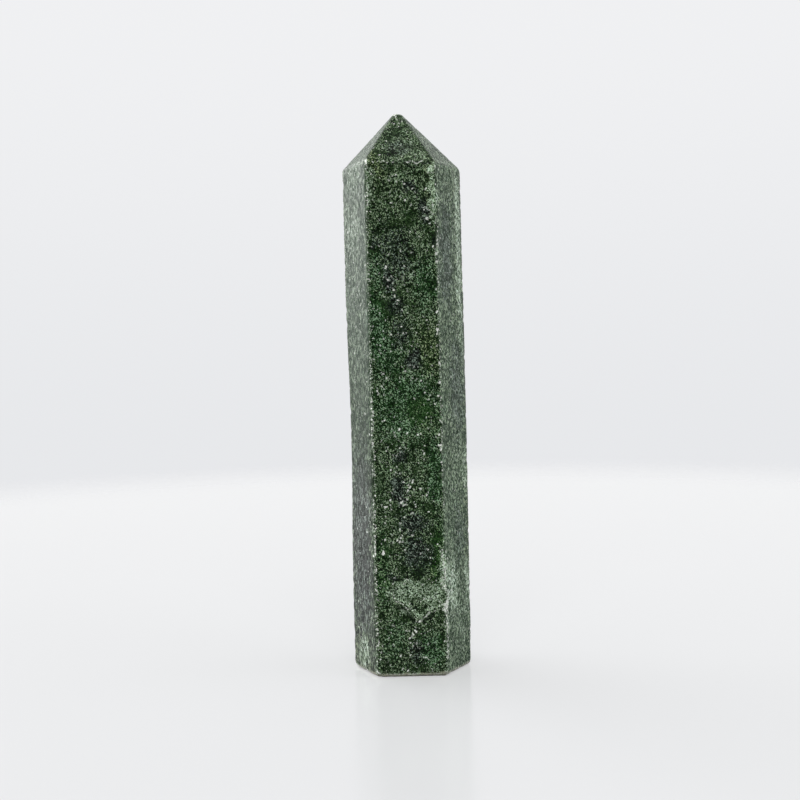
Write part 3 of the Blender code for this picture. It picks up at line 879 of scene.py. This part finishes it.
def surface_colour(n, where, flank, rock, blotch, glint):
    """The rock's colour, with painted sheen, painted glints on the flecks and the foot's rub over
    it.
    """
    # Painted light by side: the flanks tinted brighter and bluer than the front.
    colour = n.vector("MULTIPLY", rock, n.mix(flank, FRONT_TINT, FLANK_SHEEN_TINT))
    # Painted sheen: the flanks' colour paled as if it reflected the studio's light.
    colour = n.mix(n.math("MULTIPLY", n.attribute("painted_sheen"), PAINTED_SHEEN_SHARE), colour, PAINTED_SHEEN_COLOUR)
    # Painted glints and highlights: the flecks, edges and lips turn near-white.
    colour = n.mix(glint, colour, GLINT_COLOUR)
    rubbed = n.math("MULTIPLY", n.attribute("foot"), n.fit(blotch, *FOOT_BLOTCH, *FOOT_RUB))
    colour = n.mix(rubbed, colour, FOOT_TAN)
    height = n.add("ShaderNodeSeparateXYZ", {"Vector": where}).outputs["Z"]
    return n.mix(n.fit(height, *FOOT_BROWN_HEIGHTS), colour, FOOT_BROWN)


def surface_normal(n, grain, random, flank, glint):
    """The grain's slight relief, and the flecks, which each face their own way."""
    lean = n.vector("SUBTRACT", random, (0.5, 0.5, 0.5))
    lean = n.vector("MULTIPLY", lean, (GLINT_TILT, GLINT_TILT, GLINT_TILT))
    lean = n.vector("ADD", lean, GLINT_LEAN)
    outward = n.add("ShaderNodeNewGeometry").outputs["Normal"]
    tilted = n.vector("NORMALIZE", n.vector("ADD", outward, lean))
    inputs = {
        "Height": grain,
        "Strength": n.between(flank, *BUMP_STRENGTHS),
        "Distance": BUMP_DEPTH * MM,
        "Normal": n.mix(glint, outward, tilted),
    }
    return n.add("ShaderNodeBump", inputs).outputs["Normal"]


def stone_material():
    """Fuchsite: a sugary green rock with dark patches, pale bruises, mica flecks, painted sheen
    and glints.
    """
    material = bpy.data.materials.new("fuchsite")
    material.use_nodes = True
    tree = material.node_tree
    shader = tree.nodes["Principled BSDF"]
    n = Nodes(tree)
    metres = n.add("ShaderNodeTexCoord").outputs["Object"]
    where = n.vector("MULTIPLY", metres, (1 / MM, 1 / MM, 1 / MM))
    ragged = n.wobbled(where, WOBBLE_SIZE, WOBBLE)
    blotch = n.noise(where, BLOTCH_SIZE, detail=3.0, roughness=0.7)
    smear = n.noise(where, BLOTCH_SIZE, detail=3.0)
    flank = n.attribute("flank")
    grain, random, cloud = stone_grain(n, where, ragged, flank)
    rock = rock_colour(n, grain, random, blotch)
    glint = stone_glints(n, where, ragged, flank, cloud)
    polish = n.fit(grain, *POLISHED_GRAINS, *FLANK_POLISH)
    linked = {
        "Base Color": surface_colour(n, where, flank, rock, blotch, glint),
        "Roughness": n.fit(smear, *SMEARS, *ROUGHNESS),
        "Coat Weight": n.math("MULTIPLY", flank, polish),
        "Metallic": n.math("MULTIPLY", glint, GLINT_METALLIC),
        "Normal": surface_normal(n, grain, random, flank, glint),
    }
    for name, value in linked.items():
        tree.links.new(value, shader.inputs[name])
    shader.inputs["IOR"].default_value = ROCK_IOR
    shader.inputs["Coat Roughness"].default_value = COAT_ROUGHNESS
    shader.inputs["Coat IOR"].default_value = COAT_IOR
    return material


# The table top glows, which keeps the stone's shadow pale. Little of the glow reaches the stone.
FLOOR_COLOUR = (0.40, 0.405, 0.415, 1.0)
FLOOR_ROUGHNESS = 0.16
FLOOR_IOR = 1.36
FLOOR_GLOW_COLOUR = (0.99, 0.995, 1.0, 1.0)
FLOOR_GLOW = 0.378
FLOOR_GLOW_ON_STONE = 0.02
FLOOR_SIDES = 96
FLOOR_RADIUS = 340
FLOOR_FADE = (230, 330)


def floor_material():
    """A pale polished table top, which holds a soft reflection."""
    material = bpy.data.materials.new("pale_floor")
    material.use_nodes = True
    tree = material.node_tree
    shader = tree.nodes["Principled BSDF"]
    n = Nodes(tree)
    shader.inputs["Base Color"].default_value = FLOOR_COLOUR
    shader.inputs["Roughness"].default_value = FLOOR_ROUGHNESS
    shader.inputs["IOR"].default_value = FLOOR_IOR
    shader.inputs["Emission Color"].default_value = FLOOR_GLOW_COLOUR
    eye = n.add("ShaderNodeLightPath").outputs["Is Camera Ray"]
    glow = n.between(eye, FLOOR_GLOW_ON_STONE, FLOOR_GLOW)
    tree.links.new(glow, shader.inputs["Emission Strength"])
    position = n.add("ShaderNodeNewGeometry").outputs["Position"]
    distance = n.vector("LENGTH", n.vector("MULTIPLY", position, (1.0, 1.0, 0.0)))
    gone = n.fit(distance, *(edge * MM for edge in FLOOR_FADE))
    see_through = n.add("ShaderNodeBsdfTransparent")
    both = n.add("ShaderNodeMixShader", {0: gone, 1: shader.outputs[0], 2: see_through.outputs[0]})
    tree.links.new(both.outputs[0], tree.nodes["Material Output"].inputs["Surface"])
    return material


def floor():
    """A round table top, which fades into the backdrop at its rim."""
    radius = FLOOR_RADIUS * MM
    bpy.ops.mesh.primitive_circle_add(vertices=FLOOR_SIDES, radius=radius, fill_type="NGON")
    disc = bpy.context.object
    disc.name = "floor"
    disc.data.materials.append(floor_material())


# The studio as a dome of light: direction, cosines where the glow ends and where it is full,
# and its strength.
GLOWS = (
    ((-0.76, 0.49, 0.43), 0.84, 0.97, 2.3),
    ((0.93, -0.25, 0.30), 0.75, 0.97, 1.5),
    ((-0.93, -0.25, 0.30), 0.75, 0.97, 0.7),
    ((0.0, 0.30, 1.0), 0.50, 0.95, 0.15),
    ((0.0, -0.69, 0.72), 0.86, 0.98, 2.6),
)
DOME = 0.60
DOME_COLOUR = (1.0, 1.0, 1.0, 1.0)
CAMERA_SIDE = 0.03
CAMERA_SIDE_DIRECTION = (0.0, -1.0, 0.1)
CAMERA_SIDE_COSINES = (-0.1, 0.75)

# The backdrop that the camera sees instead, from low to high.
BACKDROP_HEIGHTS = (-0.12, 0.32)
BACKDROP_LOW = (0.80, 0.81, 0.83)
BACKDROP_HIGH = (0.87, 0.875, 0.89)


def studio():
    """Soft light from all round, dimmer on the camera's side, before a plain pale backdrop."""
    world = bpy.data.worlds.new("studio")
    bpy.context.scene.world = world
    world.use_nodes = True
    tree = world.node_tree
    n = Nodes(tree)
    direction = n.add("ShaderNodeTexCoord").outputs["Generated"]
    behind = n.vector("DOT_PRODUCT", direction, Vector(CAMERA_SIDE_DIRECTION).normalized())
    light = n.fit(behind, *CAMERA_SIDE_COSINES, DOME, CAMERA_SIDE)
    for towards, ends, full, strength in GLOWS:
        cosine = n.vector("DOT_PRODUCT", direction, Vector(towards).normalized())
        light = n.math("ADD", light, n.fit(cosine, ends, full, 0.0, strength))
    height = n.add("ShaderNodeSeparateXYZ", {"Vector": direction}).outputs["Z"]
    seen = n.ramp(n.fit(height, *BACKDROP_HEIGHTS), (0.0, BACKDROP_LOW), (1.0, BACKDROP_HIGH))
    backdrop = tree.nodes["Background"]
    tree.links.new(seen, backdrop.inputs["Color"])
    dome = n.add("ShaderNodeBackground", {"Color": DOME_COLOUR, "Strength": light})
    eye = n.add("ShaderNodeLightPath").outputs["Is Camera Ray"]
    both = n.add("ShaderNodeMixShader", {0: eye, 1: dome.outputs[0], 2: backdrop.outputs[0]})
    tree.links.new(both.outputs[0], tree.nodes["World Output"].inputs["Surface"])


def camera():
    """The photograph's camera, with the small roll that it was held at."""
    data = bpy.data.cameras.new("camera")
    data.sensor_width = SENSOR_MM
    data.lens = SENSOR_MM * FOCAL_PX / PHOTO_WIDTH_PX
    data.clip_start = CLIP_START * MM
    held = bpy.data.objects.new("camera", data)
    bpy.context.scene.collection.objects.link(held)
    pitch = Matrix.Rotation(math.radians(90) - CAMERA_PITCH, 4, "X")
    roll = Matrix.Rotation(-CAMERA_ROLL, 4, "Z")
    held.matrix_world = Matrix.Translation(CAMERA_PLACE * MM) @ pitch @ roll
    bpy.context.scene.camera = held


def main():
    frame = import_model()
    camera()
    studio()
    floor()
    stone = stone_piece(frame["nodes"][NODE])
    stone.data.materials.append(stone_material())
    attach(stone, "root")
    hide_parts(NODE)
    bpy.context.scene.view_settings.view_transform = "Standard"


main()
